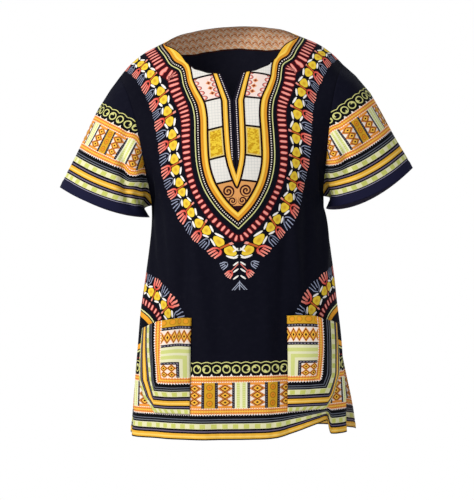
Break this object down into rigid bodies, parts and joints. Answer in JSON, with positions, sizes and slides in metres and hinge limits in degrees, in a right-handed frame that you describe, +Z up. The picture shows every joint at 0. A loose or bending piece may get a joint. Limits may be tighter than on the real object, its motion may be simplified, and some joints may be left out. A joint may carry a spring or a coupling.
{
  "type": "dashiki shirt",
  "caption": "Loose printed cotton pullover shirt with a slit neck, wide short sleeves, patch pockets and side vents, in its worn form.",
  "frame": {"origin": "midway between the two neck points, where the shoulder seams meet the neckline, in the empty neck", "axes": "+X towards the wearer's left, +Y towards the wearer's back, +Z up"},
  "size_m": [0.7154, 0.3095, 0.8356],
  "materials": {
    "front_cotton": "matt plain-woven cotton, wax-print style, near-black ground",
    "back_cotton": "matt plain-woven cotton, wax-print style, near-black ground",
    "sleeve_cotton": "matt plain-woven cotton with a printed border",
    "pocket_cotton": "matt plain-woven cotton, cut from the printed border"
  },
  "bodies": {
    "root": {"front": "front_cotton", "back": "back_cotton", "sleeve_right": "sleeve_cotton", "sleeve_left": "sleeve_cotton", "pocket_right": "pocket_cotton", "pocket_left": "pocket_cotton"}
  },
  "joints": []
}
